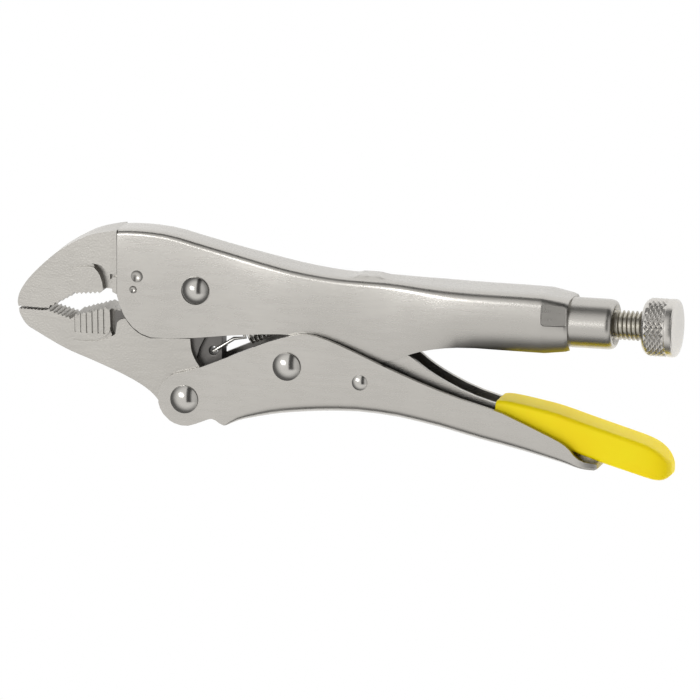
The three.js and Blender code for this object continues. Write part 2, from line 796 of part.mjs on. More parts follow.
const tool = new THREE.Group();
tool.add(
  named("upper_handle", upperHandle(), satinNickel()),
  named("upper_jaw", upperJaw(), forgedNickel()),
  named("lower_jaw", lowerJaw(), forgedNickel()),
  named("lower_handle", lowerHandle(), satinNickel()),
  named("toggle_link", toggleLink(), darkSteel()),
  named("release_lever", releaseLever(), satinNickel()),
  named("lever_grip", leverGrip(), vinyl()),
  named("end_bush", endBush(), polishedSteel()),
  named("adjusting_screw", adjustingScrew(), darkSteel()),
  named("adjusting_knob", adjustingKnob(), polishedSteel()),
  named("jaw_spring", jawSpring(), darkSteel()),
  rivetAt("jaw_pivot_rivet", jawPivot, rivet(mainShankRadius, mainHeadRadius, jawHeadHeight, shellFrontHalf)),
  rivetAt(
    "handle_pivot_rivet",
    handlePivot,
    rivet(mainShankRadius, mainHeadRadius, mainHeadHeight, handleFrontInner + handleSheet),
  ),
  rivetAt(
    "link_rivet",
    linkPivot,
    rivet(mainShankRadius, mainHeadRadius, mainHeadHeight, handleRearInner + handleSheet),
  ),
  rivetAt(
    "lever_rivet",
    leverPivot,
    rivet(leverShankRadius, leverHeadRadius, leverHeadHeight, handleRearInner + handleSheet),
  ),
);

const box = new THREE.Box3().setFromObject(tool);
const middle = box.getCenter(new THREE.Vector3());
tool.position.set(-middle.x, -middle.y, -box.min.z);

const group = new THREE.Group();
group.add(tool);

export default group;
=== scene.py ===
"""Locking pliers lying on one side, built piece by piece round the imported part."""

import math

import bmesh
import bpy
from mathutils import Matrix, Vector


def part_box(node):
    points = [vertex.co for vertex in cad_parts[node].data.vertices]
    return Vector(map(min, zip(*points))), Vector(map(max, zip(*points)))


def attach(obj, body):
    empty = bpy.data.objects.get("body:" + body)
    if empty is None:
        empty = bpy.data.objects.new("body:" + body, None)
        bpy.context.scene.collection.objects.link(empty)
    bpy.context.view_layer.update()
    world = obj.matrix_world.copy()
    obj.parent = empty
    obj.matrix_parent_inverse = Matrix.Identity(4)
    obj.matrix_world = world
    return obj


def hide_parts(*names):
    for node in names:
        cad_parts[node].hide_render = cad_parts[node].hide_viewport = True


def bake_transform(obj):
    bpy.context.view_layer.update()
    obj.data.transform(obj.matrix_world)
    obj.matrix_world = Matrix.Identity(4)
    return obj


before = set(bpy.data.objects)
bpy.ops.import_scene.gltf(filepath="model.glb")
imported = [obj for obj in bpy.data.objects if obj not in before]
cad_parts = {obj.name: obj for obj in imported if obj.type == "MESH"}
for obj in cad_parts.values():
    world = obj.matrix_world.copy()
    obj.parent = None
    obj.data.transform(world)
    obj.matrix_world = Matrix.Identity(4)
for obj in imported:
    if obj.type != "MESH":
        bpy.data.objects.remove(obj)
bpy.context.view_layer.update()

MM = 0.001
TIP_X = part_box("upper_jaw")[0].x
SCREW_LOW, SCREW_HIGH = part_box("adjusting_screw")
AXIS_Y = (SCREW_LOW.y + SCREW_HIGH.y) / 2
AXIS_Z = (SCREW_LOW.z + SCREW_HIGH.z) / 2


def at(x, y, z=0.0):
    """A place in millimetres from the jaw tip, the screw's axis and the tool's middle."""
    return Vector((TIP_X + x * MM, AXIS_Y + y * MM, AXIS_Z + z * MM))


def along(points, x):
    """The smooth line through (x, value) points, read at x."""
    if x <= points[0][0]:
        return points[0][1]
    if x >= points[-1][0]:
        return points[-1][1]
    i = max(k for k in range(len(points) - 1) if points[k][0] <= x)

    def slope(k):
        if k in (0, len(points) - 1):
            near = 1 if k == 0 else -1
            return (points[k + near][1] - points[k][1]) / (points[k + near][0] - points[k][0])
        return (points[k + 1][1] - points[k - 1][1]) / (points[k + 1][0] - points[k - 1][0])

    (x0, y0), (x1, y1) = points[i], points[i + 1]
    wide = x1 - x0
    t = (x - x0) / wide
    return (
        y0 * (1 + 2 * t) * (1 - t) ** 2
        + slope(i) * wide * t * (1 - t) ** 2
        + y1 * t * t * (3 - 2 * t)
        - slope(i + 1) * wide * t * t * (1 - t)
    )


def spread(low, high, count):
    return [low + (high - low) * i / (count - 1) for i in range(count)]


def arc(centre, radius, start, end, steps):
    """Points of an arc in the tool's side view, angles in degrees."""
    return [
        (
            centre[0] + radius * math.cos(math.radians(a)),
            centre[1] + radius * math.sin(math.radians(a)),
        )
        for a in spread(start, end, steps)
    ]


def smooth(points, steps):
    """A rounded line through side-view points, with so many steps between two of them."""
    ends = [points[0], *points, points[-1]]
    line = []
    for a, b, c, d in zip(ends, ends[1:], ends[2:], ends[3:]):
        for k in range(steps):
            t = k / steps
            line.append(
                tuple(
                    0.5
                    * (
                        2 * b[i]
                        + (c[i] - a[i]) * t
                        + (2 * a[i] - 5 * b[i] + 4 * c[i] - d[i]) * t * t
                        + (3 * b[i] - a[i] - 3 * c[i] + d[i]) * t**3
                    )
                    for i in range(len(b))
                )
            )
    return [*line, tuple(points[-1])]


def teeth(start, end, count, depth):
    """Saw teeth from start to end, cut to the left of the way."""
    sx, sy = end[0] - start[0], end[1] - start[1]
    length = math.hypot(sx, sy)
    out = (-sy / length * depth, sx / length * depth)
    line = []
    for i in range(count):
        line.append((start[0] + sx * i / count, start[1] + sy * i / count))
        mid = (i + 0.42) / count
        line.append((start[0] + sx * mid + out[0], start[1] + sy * mid + out[1]))
    return [*line, end]


# ---- the bench: drawing, extruding, cutting -----------------------------------------------


def nothing_selected():
    if bpy.context.object and bpy.context.object.mode == "EDIT":
        bpy.ops.object.mode_set(mode="OBJECT")
    bpy.ops.object.select_all(action="DESELECT")


def take(piece):
    """Makes the piece the one that operators act on."""
    nothing_selected()
    piece.select_set(True)
    bpy.context.view_layer.objects.active = piece


def edit(piece):
    take(piece)
    bpy.ops.object.mode_set(mode="EDIT")


def pick(piece, kind, test):
    """Selects the vertices, edges or faces that pass the test."""
    bpy.ops.mesh.select_mode(type=kind)
    bpy.ops.mesh.select_all(action="DESELECT")
    mesh = bmesh.from_edit_mesh(piece.data)
    for part in {"VERT": mesh.verts, "EDGE": mesh.edges, "FACE": mesh.faces}[kind]:
        if test(part):
            part.select_set(True)
    mesh.select_flush_mode()
    bmesh.update_edit_mesh(piece.data)


def chain(name, points, closed=False):
    """One vertex, extruded from point to point. It stays in edit mode, all selected."""
    nothing_selected()
    bpy.ops.mesh.primitive_plane_add(size=MM, location=(0, 0, 0))
    piece = bpy.context.object
    piece.name = piece.data.name = name
    piece.data.uv_layers.remove(piece.data.uv_layers[0])
    bpy.ops.object.mode_set(mode="EDIT")
    bpy.ops.mesh.select_mode(type="VERT")
    bpy.ops.mesh.select_all(action="SELECT")
    bpy.ops.mesh.merge(type="CENTER")
    bpy.ops.transform.translate(value=points[0])
    for before, after in zip(points, points[1:]):
        bpy.ops.mesh.extrude_region_move(TRANSFORM_OT_translate={"value": after - before})
    if closed:
        last = len(points) - 1
        mesh = bmesh.from_edit_mesh(piece.data)
        mesh.verts.index_update()
        pick(piece, "VERT", lambda v: v.index in (0, last))
        bpy.ops.mesh.edge_face_add()
    bpy.ops.mesh.select_all(action="SELECT")
    return piece


def loft(name, rings, closed=False):
    """The first ring drawn, then extruded from ring to ring, each point moved to its place."""
    piece = chain(name, rings[0], closed)
    count = len(rings[0])
    for before, after in zip(rings, rings[1:]):
        step = sum(after, Vector()) / count - sum(before, Vector()) / count
        bpy.ops.mesh.extrude_region_move(TRANSFORM_OT_translate={"value": step})
        mesh = bmesh.from_edit_mesh(piece.data)
        fresh = [vertex for vertex in mesh.verts if vertex.select]
        matched = [min(fresh, key=lambda v, p=p: (v.co - p - step).length) for p in before]
        bpy.ops.mesh.select_all(action="DESELECT")
        for vertex, start, end in zip(matched, before, after):
            vertex.select_set(True)
            bpy.ops.transform.translate(value=end - start - step)
            vertex.select_set(False)
        for vertex in matched:
            vertex.select_set(True)
        mesh.select_flush_mode()
    bpy.ops.mesh.select_all(action="SELECT")
    return piece


def close_ends(piece, rings):
    """Fills the first and last ring of a closed loft."""
    for ring in (rings[0], rings[-1]):
        pick(piece, "VERT", lambda v, ring=ring: any((v.co - p).length < 0.001 * MM for p in ring))
        bpy.ops.mesh.edge_face_add()


def plate(name, outline, low, high):
    """A flat outline in the side view, filled and extruded from low to high."""
    piece = chain(name, [at(x, y, low) for x, y in outline], closed=True)
    bpy.ops.mesh.edge_face_add()
    bpy.ops.mesh.extrude_region_move(TRANSFORM_OT_translate={"value": (0, 0, (high - low) * MM)})
    right_way_out()
    return piece


def right_way_out():
    """Joins doubled points of the piece in hand and turns its faces outwards."""
    bpy.ops.mesh.select_all(action="SELECT")
    bpy.ops.mesh.remove_doubles(threshold=0.002 * MM)
    bpy.ops.mesh.normals_make_consistent(inside=False)


def sheet_faces_out(piece):
    """Turns an open sheet's faces away from the tool's middle, before it gets its thickness."""
    bpy.ops.mesh.select_all(action="SELECT")
    mesh = bmesh.from_edit_mesh(piece.data)
    mesh.normal_update()
    outward = sum(
        face.normal.z * (face.calc_center_median().z - AXIS_Z) * face.calc_area()
        for face in mesh.faces
    )
    if outward < 0:
        bpy.ops.mesh.flip_normals()


def spun(name, profile, centre, axis, steps):
    """A profile of points turned a full circle round an axis."""
    piece = chain(name, profile)
    bpy.ops.mesh.spin(steps=steps, angle=2 * math.pi, center=centre, axis=axis)
    right_way_out()
    return piece


def turned(name, profile, steps=64):
    """A profile of (along, radius) turned round the screw's axis."""
    points = [at(x, radius) for x, radius in profile]
    return spun(name, points, at(0, 0), (1, 0, 0), steps)


def bevel(piece, test, width, segments):
    pick(piece, "EDGE", test)
    bpy.ops.mesh.bevel(offset=width * MM, segments=segments, affect="EDGES", clamp_overlap=True)


def modify(piece, kind, **values):
    """Adds a modifier and applies it."""
    take(piece)
    modifier = piece.modifiers.new(kind.title(), kind)
    for key, value in values.items():
        setattr(modifier, key, value)
    bpy.ops.object.modifier_apply(modifier=modifier.name)


def soften(piece, width, segments, angle):
    """Rounds every edge that turns by more than the angle, in degrees."""
    modify(
        piece,
        "BEVEL",
        width=width * MM,
        segments=segments,
        limit_method="ANGLE",
        angle_limit=math.radians(angle),
    )


def thicken(piece, sheet):
    """Gives a folded sheet its thickness, inwards."""
    modify(piece, "SOLIDIFY", thickness=sheet * MM, offset=-1.0, use_quality_normals=True)


def cut(piece, *cutters):
    """Takes the cutters' shapes out of the piece."""
    for cutter in cutters:
        take(cutter)
        modify(piece, "BOOLEAN", object=cutter, operation="DIFFERENCE", solver="EXACT")
        bpy.data.objects.remove(cutter)


def wire(name, points, radius):
    """Round wire along a line of points."""
    roundness = 3
    piece = chain(name, points)
    nothing_selected()
    take(piece)
    bpy.ops.object.convert(target="CURVE")
    piece = bpy.context.object
    piece.data.bevel_depth = radius * MM
    piece.data.bevel_resolution = roundness
    piece.data.use_fill_caps = True
    bpy.ops.object.convert(target="MESH")
    edit(bpy.context.object)
    right_way_out()
    return bpy.context.object


def done(piece, body, nodes, material, angle=32, flat=True):
    """Ends the modelling of a piece and hangs it on its body."""
    take(piece)
    bpy.ops.object.shade_smooth_by_angle(angle=math.radians(angle))
    if flat:
        modify(piece, "WEIGHTED_NORMAL", keep_sharp=True, weight=60)
    piece.data.materials.clear()
    piece.data.materials.append(material)
    if body:
        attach(piece, body)
    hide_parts(*nodes)
    nothing_selected()
    return piece


# ---- finishes -----------------------------------------------------------------------------


def group(name, inputs, outputs):
    """An empty shader node group and its ends."""
    tree = bpy.data.node_groups.new(name, "ShaderNodeTree")
    for label, kind, value in inputs:
        socket = tree.interface.new_socket(label, in_out="INPUT", socket_type=kind)
        if value is not None:
            socket.default_value = value
    for label, kind in outputs:
        tree.interface.new_socket(label, in_out="OUTPUT", socket_type=kind)
    return tree, tree.nodes.new("NodeGroupInput"), tree.nodes.new("NodeGroupOutput")


def node(tree, kind, inputs=None, **values):
    """A node with its settings, its inputs set or linked."""
    made = tree.nodes.new("ShaderNode" + kind)
    for key, value in values.items():
        setattr(made, key, value)
    for key, value in (inputs or {}).items():
        if isinstance(value, bpy.types.NodeSocket):
            tree.links.new(value, made.inputs[key])
        else:
            made.inputs[key].default_value = value
    return made


def maths(tree, operation, *values):
    """The result of a sum on values or sockets."""
    return node(tree, "Math", dict(enumerate(values)), operation=operation).outputs[0]


def step_mask(tree, value, low, high, start=0.0, end=1.0):
    """A soft step of a value from one strength to another."""
    return node(
        tree,
        "MapRange",
        {"Value": value, "From Min": low, "From Max": high, "To Min": start, "To Max": end},
        interpolation_type="SMOOTHSTEP",
    ).outputs[0]


def plated_surface():
    """Tumbled and plated steel: fine pits, slow clouds of tone and faint rubbed streaks."""
    tree, ends, out = group(
        "PlatedSurface",
        [
            ("Colour", "NodeSocketColor", (0.6, 0.6, 0.6, 1)),
            ("Clouding", "NodeSocketFloat", 0.1),
            ("Roughness", "NodeSocketFloat", 0.35),
            ("Pit Size", "NodeSocketFloat", 1.0),
            ("Pit Depth", "NodeSocketFloat", 0.1),
        ],
        [
            ("Colour", "NodeSocketColor"),
            ("Roughness", "NodeSocketFloat"),
            ("Height", "NodeSocketFloat"),
        ],
    )
    place = node(tree, "TexCoord").outputs["Object"]
    clouds = node(
        tree, "TexNoise", {"Vector": place, "Scale": 70.0, "Detail": 4.0, "Roughness": 0.6}
    )
    streaks_way = node(tree, "Mapping", {"Vector": place, "Scale": (0.12, 1.0, 1.0)})
    streaks = node(
        tree, "TexNoise", {"Vector": streaks_way.outputs[0], "Scale": 900.0, "Detail": 3.0}
    )
    pit_scale = maths(tree, "DIVIDE", 2600.0, ends.outputs["Pit Size"])
    pits = node(tree, "TexNoise", {"Vector": place, "Scale": pit_scale, "Detail": 2.0})
    mixed = maths(tree, "ADD", clouds.outputs["Fac"], streaks.outputs["Fac"])
    centred = maths(tree, "SUBTRACT", mixed, 1.0)
    shift = maths(tree, "MULTIPLY", centred, ends.outputs["Clouding"])
    bright = maths(tree, "ADD", shift, 1.0)
    colour = node(tree, "HueSaturation", {"Color": ends.outputs["Colour"], "Value": bright})
    rough = maths(tree, "MULTIPLY_ADD", shift, 0.9, ends.outputs["Roughness"])
    height = maths(tree, "MULTIPLY", pits.outputs["Fac"], ends.outputs["Pit Depth"])
    tree.links.new(colour.outputs[0], out.inputs["Colour"])
    tree.links.new(rough, out.inputs["Roughness"])
    tree.links.new(height, out.inputs["Height"])
    return tree


PLATED = plated_surface()


def material(name):
    made = bpy.data.materials.new(name)
    made.use_nodes = True
    return made, made.node_tree, made.node_tree.nodes["Principled BSDF"]


def plated(name, colour, rough, clouding, pit_size, pit_depth):
    """A metal finish on the plated surface group."""
    made, tree, shader = material(name)
    surface = tree.nodes.new("ShaderNodeGroup")
    surface.node_tree = PLATED
    surface.inputs["Colour"].default_value = (*colour, 1)
    surface.inputs["Clouding"].default_value = clouding
    surface.inputs["Roughness"].default_value = rough
    surface.inputs["Pit Size"].default_value = pit_size
    surface.inputs["Pit Depth"].default_value = pit_depth
    bump = node(
        tree,
        "Bump",
        {"Height": surface.outputs["Height"], "Strength": 0.5, "Distance": 0.1 * MM},
    )
    tree.links.new(surface.outputs["Colour"], shader.inputs["Base Color"])
    tree.links.new(surface.outputs["Roughness"], shader.inputs["Roughness"])
    tree.links.new(bump.outputs[0], shader.inputs["Normal"])
    shader.inputs["Metallic"].default_value = 1.0
    return made


def vinyl(name, colour, deep):
    """Thick dipped vinyl: glossy, slightly uneven, deeper in tone where it is thick."""
    made, tree, shader = material(name)
    place = node(tree, "TexCoord").outputs["Object"]
    slow = node(tree, "TexNoise", {"Vector": place, "Scale": 60.0, "Detail": 2.0})
    fine = node(tree, "TexNoise", {"Vector": place, "Scale": 700.0, "Detail": 3.0})
    tone = node(
        tree,
        "MixRGB",
        {"Fac": slow.outputs["Fac"], "Color1": (*colour, 1), "Color2": (*deep, 1)},
    )
    rough = node(
        tree,
        "MapRange",
        {"Value": fine.outputs["Fac"], "To Min": 0.36, "To Max": 0.52},
    )
    wave = maths(tree, "MULTIPLY_ADD", slow.outputs["Fac"], 6.0, fine.outputs["Fac"])
    bump = node(tree, "Bump", {"Height": wave, "Strength": 0.25, "Distance": 0.06 * MM})
    tree.links.new(tone.outputs[0], shader.inputs["Base Color"])
    tree.links.new(rough.outputs[0], shader.inputs["Roughness"])
    tree.links.new(bump.outputs[0], shader.inputs["Normal"])
    shader.inputs["Specular IOR Level"].default_value = 0.2
    shader.inputs["Subsurface Weight"].default_value = 0.08
    shader.inputs["Subsurface Radius"].default_value = (0.002, 0.0015, 0.0003)
    return made


satin_nickel = plated("satin_nickel", (0.4, 0.388, 0.366), 0.28, 0.1, 1.0, 0.5)
forged_nickel = plated("forged_nickel", (0.385, 0.373, 0.35), 0.35, 0.14, 1.6, 0.9)
bright_nickel = plated("bright_nickel", (0.44, 0.43, 0.41), 0.15, 0.08, 0.8, 0.15)
knob_nickel = plated("knob_nickel", (0.5, 0.485, 0.46), 0.3, 0.08, 0.8, 0.2)
thread_steel = plated("thread_steel", (0.42, 0.4, 0.35), 0.34, 0.2, 0.7, 0.6)
# painted shade: near-black steel for the jaw's tongue and tail, standing in for the shade between
# the shell and handle walls
painted_shade_steel = plated("painted_shade_steel", (0.13, 0.125, 0.12), 0.45, 0.3, 1.2, 0.9)
spring_steel = plated("spring_steel", (0.62, 0.61, 0.58), 0.25, 0.15, 0.5, 0.3)
yellow_vinyl = vinyl("yellow_vinyl", (1.0, 0.86, 0.005), (1.0, 0.72, 0.0))

# ---- upper handle -------------------------------------------------------------------------

SHELL_SHEET = 1.7
SHELL_FRONT_HALF = 6.8
SHELL_TOP = [
    (35, 23.2), (40, 23.5), (46.7, 23.4), (53.6, 22.7), (60.5, 21.1), (74.3, 17.9), (88, 14.9),
    (97.6, 13.1), (111, 11.6), (128.9, 11.2), (142.6, 10.6), (156.4, 10.2), (177, 10.1),
    (182.3, 9.9), (186, 9.4), (188.5, 8.85), (190, 8.4),
]
SHELL_EDGE = [
    (35, 1.0), (36, -2.4), (37.2, -5.2), (38.4, -7.2), (40.4, -9.5), (43, -11.4), (46.5, -12.6),
    (61, -11.9), (72.4, -10.4), (95.2, -8.5), (103.2, -11), (114.3, -15.3), (122.3, -16.5),
    (128.3, -15.6), (139.8, -11.3), (146.6, -9.9), (153.5, -9.4), (165, -9.6), (181, -9.8),
    (185, -9.7), (188, -9.2), (190, -8.6),
]
SHELL_HALF = [
    (36, 6.8), (72.4, 6.8), (90.2, 7.7), (130, 7.7), (148, 9.9), (182, 10.1), (186, 9.9),
    (190, 9.2),
]
SHELL_TUCK = [
    (36, 0), (100, 0.1), (108, 0.5), (130, 0.6), (142, 0.8), (152, 2.6), (160, 3.8), (184, 4.4),
    (190, 4.4),
]
SHELL_CORNER = [(36, 1.7), (74, 2.1), (120, 2.2), (152, 3.3), (182, 3.6), (190, 4.2)]
SHELL_STATIONS = [
    35, 35.4, 36, 37.2, 38.4, 40.4, 43, 46.5, 51, 56, 61, 66, 72.4, 78, 84, 90.2, 95.2, 99.5,
    103.2, 107, 111, 113.5, 115.5, 117.5, 120.5, 123.5, 126.5, 129, 133, 136.5, 139.8, 144, 148,
    152, 158, 165, 173, 180.4, 181.6, 188.6, 189.4, 190,
]
WALL_LEVELS = [0, 0.08, 0.28, 0.53, 0.8, 1]  # shares of the side wall's height
TUCK_END = 0.5  # share of the wall's height below which it is tucked in
LEAN_START = 0.6  # share of the wall's height above which it leans in to the spine
WALL_LEAN = 0.35
SPINE_CROWN = 0.12
LOCATING_PAD = [(113.5, 0), (115.8, 0.25), (117.5, 0.75), (123.5, 0.75), (126.0, 0.25), (128.5, 0)]


STAKE_MARKS = [((41.9, 8.0), 2.1, 0.7), ((40.6, 3.4), 1.3, 0.5)]  # place, radius, depth


def shell_ring(x):
    """The sheet's outer line at x, from the near lower edge over the spine to the far one."""
    top, low = along(SHELL_TOP, x), along(SHELL_EDGE, x)
    half, radius, tuck = along(SHELL_HALF, x), along(SHELL_CORNER, x), along(SHELL_TUCK, x)
    wall = top - radius - low
    side = []
    for level in WALL_LEVELS:
        tucked = tuck * (1 - min(level / TUCK_END, 1)) ** 2
        leaned = WALL_LEAN * (max(level - LEAN_START, 0) / (1 - LEAN_START)) ** 2
        side.append((low + level * wall, half - tucked - leaned))
    corner = [
        (top - radius + radius * math.sin(a), half - WALL_LEAN - radius + radius * math.cos(a))
        for a in spread(0, math.pi / 2, 6)[1:]
    ]
    raised = along(LOCATING_PAD, x)
    flat = half - WALL_LEAN - radius
    crown = [(top + SPINE_CROWN + raised, flat * share) for share in (0.75, 0.3)]
    near = [*side, *corner, *crown]
    return [at(x, y, z) for y, z in near] + [at(x, y, -z) for y, z in reversed(near)]


def upper_handle():
    piece = loft("upper_handle_shell", [shell_ring(x) for x in SHELL_STATIONS])
    sheet_faces_out(piece)
    bpy.ops.object.mode_set(mode="OBJECT")
    thicken(piece, SHELL_SHEET)
    cut(
        piece,
        crimp_tool(1),
        crimp_tool(-1),
        *(punch(*mark, SHELL_FRONT_HALF) for mark in STAKE_MARKS),
    )
    soften(piece, 0.25, 2, 50)
    return done(piece, "root", ["upper_handle"], satin_nickel)


CRIMP = [
    (181.2, 0.9), (182.0, 0.3), (189.4, 0.3), (189.8, 0.9),
    (189.8, 7.6), (189.4, 8.3), (182.0, 8.3), (181.2, 7.6),
]
CRIMP_FLOOR = 9.8  # from the tool's middle, at the crimp's front
CRIMP_TOP = 14
CRIMP_REAR_DROP = 1.25
CRIMP_UPPER_DROP = 0.3


def crimp_tool(side):
    """A rounded block that presses the rear dent, deepest above and at the bush."""
    piece = plate("crimp_tool", CRIMP, CRIMP_FLOOR, CRIMP_TOP)
    floor = at(0, 0, (CRIMP_FLOOR + CRIMP_TOP) / 2).z
    rear = at(188, 0).x
    pick(piece, "VERT", lambda v: v.co.z < floor and v.co.x > rear)
    bpy.ops.transform.translate(value=(0, 0, -CRIMP_REAR_DROP * MM))
    middle = at(0, 4.3).y
    pick(piece, "VERT", lambda v: v.co.z < floor and v.co.y > middle)
    bpy.ops.transform.translate(value=(0, 0, -CRIMP_UPPER_DROP * MM))
    bpy.ops.object.mode_set(mode="OBJECT")
    soften(piece, 0.5, 3, 30)
    if side < 0:
        edit(piece)
        bpy.ops.mesh.select_all(action="SELECT")
        bpy.ops.transform.mirror(constraint_axis=(False, False, True), center_override=at(0, 0))
        bpy.ops.mesh.normals_make_consistent(inside=False)
        bpy.ops.object.mode_set(mode="OBJECT")
    return piece


def punch(place, radius, depth, half):
    """A ball that leaves a round stake mark in a side wall."""
    nothing_selected()
    ball = (radius**2 + depth**2) / (2 * depth)
    bpy.ops.mesh.primitive_uv_sphere_add(
        segments=48, ring_count=24, radius=ball * MM, location=at(*place, half + ball - depth)
    )
    piece = bpy.context.object
    bpy.ops.object.transform_apply(location=True, rotation=True, scale=True)
    return piece


upper_handle()

# ---- jaws ---------------------------------------------------------------------------------

JAW_HALF = 6.8
TAPER_START = 32.5
TAPER_ANGLE = math.degrees(math.atan2(2.4, TAPER_START))


def tapered(piece):
    """Both sides of a jaw plate drawn in towards the tip."""
    edit(piece)
    seam = at(TAPER_START, 0).x
    bpy.ops.mesh.select_all(action="SELECT")
    bpy.ops.mesh.bisect(plane_co=at(TAPER_START, 0), plane_no=(1, 0, 0))
    for side in (1, -1):
        pick(
            piece,
            "VERT",
            lambda v, side=side: v.co.x < seam - 0.01 * MM and (v.co.z - AXIS_Z) * side > 3 * MM,
        )
        mesh = bmesh.from_edit_mesh(piece.data)
        for vertex in [v for v in mesh.verts if v.select]:
            near = (seam - vertex.co.x) * math.tan(math.radians(TAPER_ANGLE))
            for other in mesh.verts:
                other.select_set(False)
            vertex.select_set(True)
            bpy.ops.transform.translate(value=(0, 0, -side * near))


UPPER_MOUTH = [
    (0.3, -5.2), *teeth((0.6, -5.2), (9.2, -5.2), 7, 0.2),
    *teeth((9.9, -4.9), (19.6, 0.9), 6, -0.75), *teeth((20.2, 1.1), (29.6, 2.0), 6, -0.7),
    (30.4, 2.5), (32.4, 2.4), (34.0, 1.9), (34.9, 1.4),
]
UPPER_BROW = smooth(
    [
        (34.9, 23.2), (31.5, 22.6), (24.8, 20.7), (16.4, 16.1), (10.2, 11.1), (4.4, 5.2),
        (1.1, 0.4), (0, -3.2), (0.3, -5.2),
    ],
    5,
)
UPPER_WEDGE = [
    (26.4, 11.4), (29.4, 11.0), (31.6, 8.9), (33.1, 5), (33.6, 0.5), (30.2, 0.5), (29.7, 5),
    (28.5, 8.4), (26.9, 10.1),
]
BROW_LINE = smooth(
    [
        (14, 7.4), (19, 10.2), (24, 11.2), (27.6, 10.9), (27.4, 10.0), (24, 10.2), (19, 9.2),
        (14.4, 6.8),
    ],
    2,
)
UPPER_BLOCK = smooth(
    [
        (11, -3.2), (14, 3), (17, 7.6), (21, 9.0), (25.5, 9.6), (28.4, 8.4), (29.8, 5), (30.2, 1.4),
        (24, -1), (18, -2),
    ],
    2,
)
UPPER_SLOT = [(32.6, 8.2), (36, 8.4), (36, 7.4), (33.4, 7.2), (33.4, 5.4), (32.6, 5.4)]
UPPER_RELIEFS = [
    ("wedge", UPPER_WEDGE, 3.6),
    ("brow_line", BROW_LINE, 1.3),
    ("block_step", UPPER_BLOCK, 0.75),
    ("cutter_slot", UPPER_SLOT, 1.4),
]
NEAR_LINE = 1.3  # an edge belongs to an outline when its middle lies this near
ACROSS = 1.5  # an edge that spans more of the thickness than this runs across the jaw


def relief(name, outline, depth):
    """A cutter sunk to a depth in both sides of the jaws."""
    floor = JAW_HALF - depth
    outside = JAW_HALF + 3
    return [
        plate(name + "_near", outline, floor, outside),
        plate(name + "_far", outline, -outside, -floor),
    ]


def reliefs(listed):
    """Every cutter of a list of (name, outline, depth)."""
    return [cutter for entry in listed for cutter in relief(*entry)]


def follows(edge, outline):
    """Tells whether an edge of a jaw runs along an outline, on either side."""
    start, end = (vertex.co for vertex in edge.verts)
    if abs(start.z - end.z) > ACROSS * MM:
        return False
    middle = (start + end) / 2
    level = (middle.z - AXIS_Z) / MM
    return any((middle - at(x, y, level)).length < NEAR_LINE * MM for x, y in outline)


def edge_middle(edge):
    return (edge.verts[0].co + edge.verts[1].co) / 2


def upper_jaw():
    outline = [*UPPER_MOUTH, *UPPER_BROW[:-1]]
    piece = plate("upper_jaw_forging", outline, -JAW_HALF, JAW_HALF)
    tapered(piece)
    brow_x = at(34.6, 0).x
    tip_y = at(0, -5.3).y

    def on_brow(edge):
        middle = edge_middle(edge)
        return middle.x <= brow_x and middle.y > tip_y and follows(edge, UPPER_BROW[:-1])

    bevel(piece, on_brow, 2.2, 6)
    bpy.ops.object.mode_set(mode="OBJECT")
    cut(piece, *reliefs(UPPER_RELIEFS))
    soften(piece, 0.22, 2, 40)
    return done(piece, "root", ["upper_jaw"], forged_nickel)


upper_jaw()

HANDLE_PIVOT = (58.7, -32.5)
JAW_PIVOT = (62.0, 4.3)
HOOK_TAIL = (67.2, -16.7)
LOWER_FRONT = smooth(
    [
        (0.4, -5.9), (0.9, -8.0), (3.1, -11.2), (6.4, -13.2), (16.8, -18.3), (27.4, -22.0),
        (35.4, -25.0), (42.7, -28.5), (47.4, -31.8), (50.6, -35.6),
    ],
    5,
)
LOWER_TOP = smooth([(46.5, -12.85), (43, -11.65), (40.4, -9.75), (38.4, -7.45), (37.2, -5.45)], 4)
LOWER_MOUTH = [
    (36.3, -3.6), (32.6, -4.4), *teeth((31.4, -3.9), (19.8, -7.4), 8, -0.75),
    *teeth((18.4, -8.3), (10, -5.9), 6, -0.7), *teeth((9.2, -5.85), (0.6, -5.85), 7, 0.2),
]


LOWER_WEDGE = [
    (32.2, -3.6), (37.6, -4.2), (38.4, -6.4), (36.0, -7.2), (35.0, -8.2), (34.4, -12.2),
    (33.2, -13.0), (32.6, -12.0), (32.4, -6),
]
BLOCK_LINE = smooth(
    [
        (33.9, -9.6), (33.2, -12.4), (30.4, -14.4), (26, -15.2), (19, -15.0), (13.4, -13.4),
        (13.6, -12.8), (19, -14.2), (26, -14.4), (29.8, -13.6), (32.2, -11.8), (32.8, -9.6),
    ],
    2,
)
LOWER_BLOCK = smooth(
    [
        (18, -6.5), (18.4, -12.6), (22, -13.9), (28, -13.9), (31.8, -11.6), (32.9, -8),
        (32.8, -3.4), (26, -3.4),
    ],
    2,
)
LOWER_SLOT = [(37, -5.6), (40.6, -6.0), (40.6, -6.9), (37.4, -6.7)]
FLUTE_TOP, FLUTE_LOW = -3, -12.5
FLUTE_DEPTH = 1.15
FLUTES = [
    [(x - 0.45, FLUTE_TOP), (x + 0.45, FLUTE_TOP), (x + 0.3, FLUTE_LOW), (x - 0.3, FLUTE_LOW)]
    for x in (20.4, 22.4, 24.4, 26.4, 28.4, 30.4)
]
LOWER_RELIEFS = [
    ("wedge", LOWER_WEDGE, 3.4),
    ("block_line", BLOCK_LINE, 1.1),
    ("block_step", LOWER_BLOCK, 0.6),
    *(("flute", outline, FLUTE_DEPTH) for outline in FLUTES),
    ("cutter_slot", LOWER_SLOT, 1.2),
]


